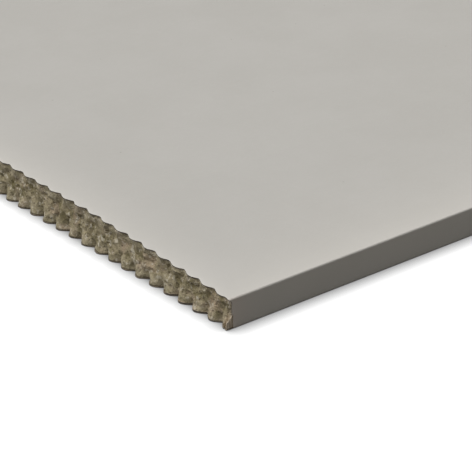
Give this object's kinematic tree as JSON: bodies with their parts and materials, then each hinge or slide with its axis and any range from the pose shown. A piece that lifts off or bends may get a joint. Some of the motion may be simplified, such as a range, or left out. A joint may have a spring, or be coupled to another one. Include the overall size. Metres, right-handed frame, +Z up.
{
  "type": "gypsum plasterboard",
  "caption": "Flat rectangular gypsum board, paper on both faces, with tapered and paper-wrapped long edges and serrated, knife-cut short ends.",
  "frame": {"origin": "on the floor plane under the middle of the board, as it lies face up", "axes": "+X along the long edges, +Y across the board's width, +Z up out of the face"},
  "size_m": [2.4022, 1.2, 0.0125],
  "materials": {
    "face_paper": "matte",
    "gypsum_core": "matte",
    "back_paper": "matte"
  },
  "bodies": {
    "root": {"face_paper": "face_paper", "gypsum_core": "gypsum_core", "back_paper": "back_paper"}
  },
  "joints": []
}
